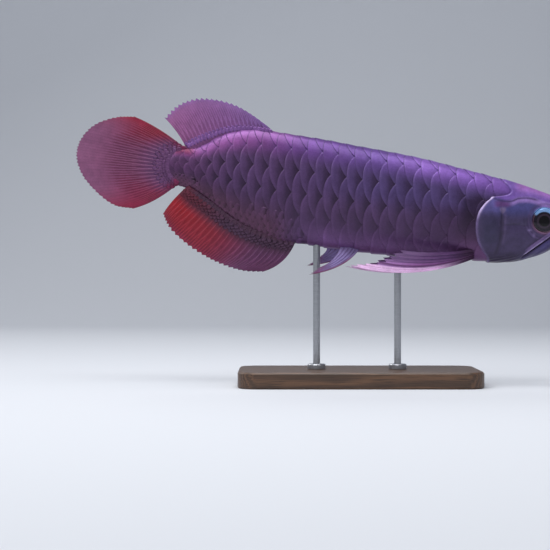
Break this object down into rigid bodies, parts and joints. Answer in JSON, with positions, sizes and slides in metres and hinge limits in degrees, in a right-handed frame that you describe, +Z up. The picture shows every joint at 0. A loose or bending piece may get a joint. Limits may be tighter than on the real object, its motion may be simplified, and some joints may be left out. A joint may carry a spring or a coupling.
{
  "type": "asian arowana",
  "caption": "Life-size Asian arowana with large plate scales, upturned mouth, chin barbels and broad fan fins, swimming straight and level on a plain rod display stand.",
  "frame": {"origin": "on the floor under the stand, at the middle of the model's bounding box", "axes": "+X forward from the tail to the snout, +Y to the fish's left, +Z up"},
  "size_m": [0.5263, 0.12, 0.2869],
  "materials": {
    "skin": "gloss",
    "scales": "gloss",
    "fins": "satin",
    "eyes": "gloss",
    "stand_wood": "satin",
    "stand_steel": "satin"
  },
  "bodies": {
    "root": {"head": "skin", "lower_jaw": "skin", "gill_cover_right": "skin", "gill_cover_left": "skin", "cheek_plate_right": "skin", "cheek_plate_left": "skin", "upper_jaw_right": "skin", "upper_jaw_left": "skin", "barbel_right": "skin", "barbel_left": "skin", "trunk": "scales", "tail": "scales", "dorsal_fin": "fins", "anal_fin": "fins", "caudal_fin": "fins", "pectoral_fin_right": "fins", "pectoral_fin_left": "fins", "pelvic_fin_right": "fins", "pelvic_fin_left": "fins", "eye_right": "eyes", "eye_left": "eyes", "stand_base": "stand_wood", "stand_rod_front": "stand_steel", "stand_rod_rear": "stand_steel", "stand_collar_front": "stand_steel", "stand_collar_rear": "stand_steel"}
  },
  "joints": []
}
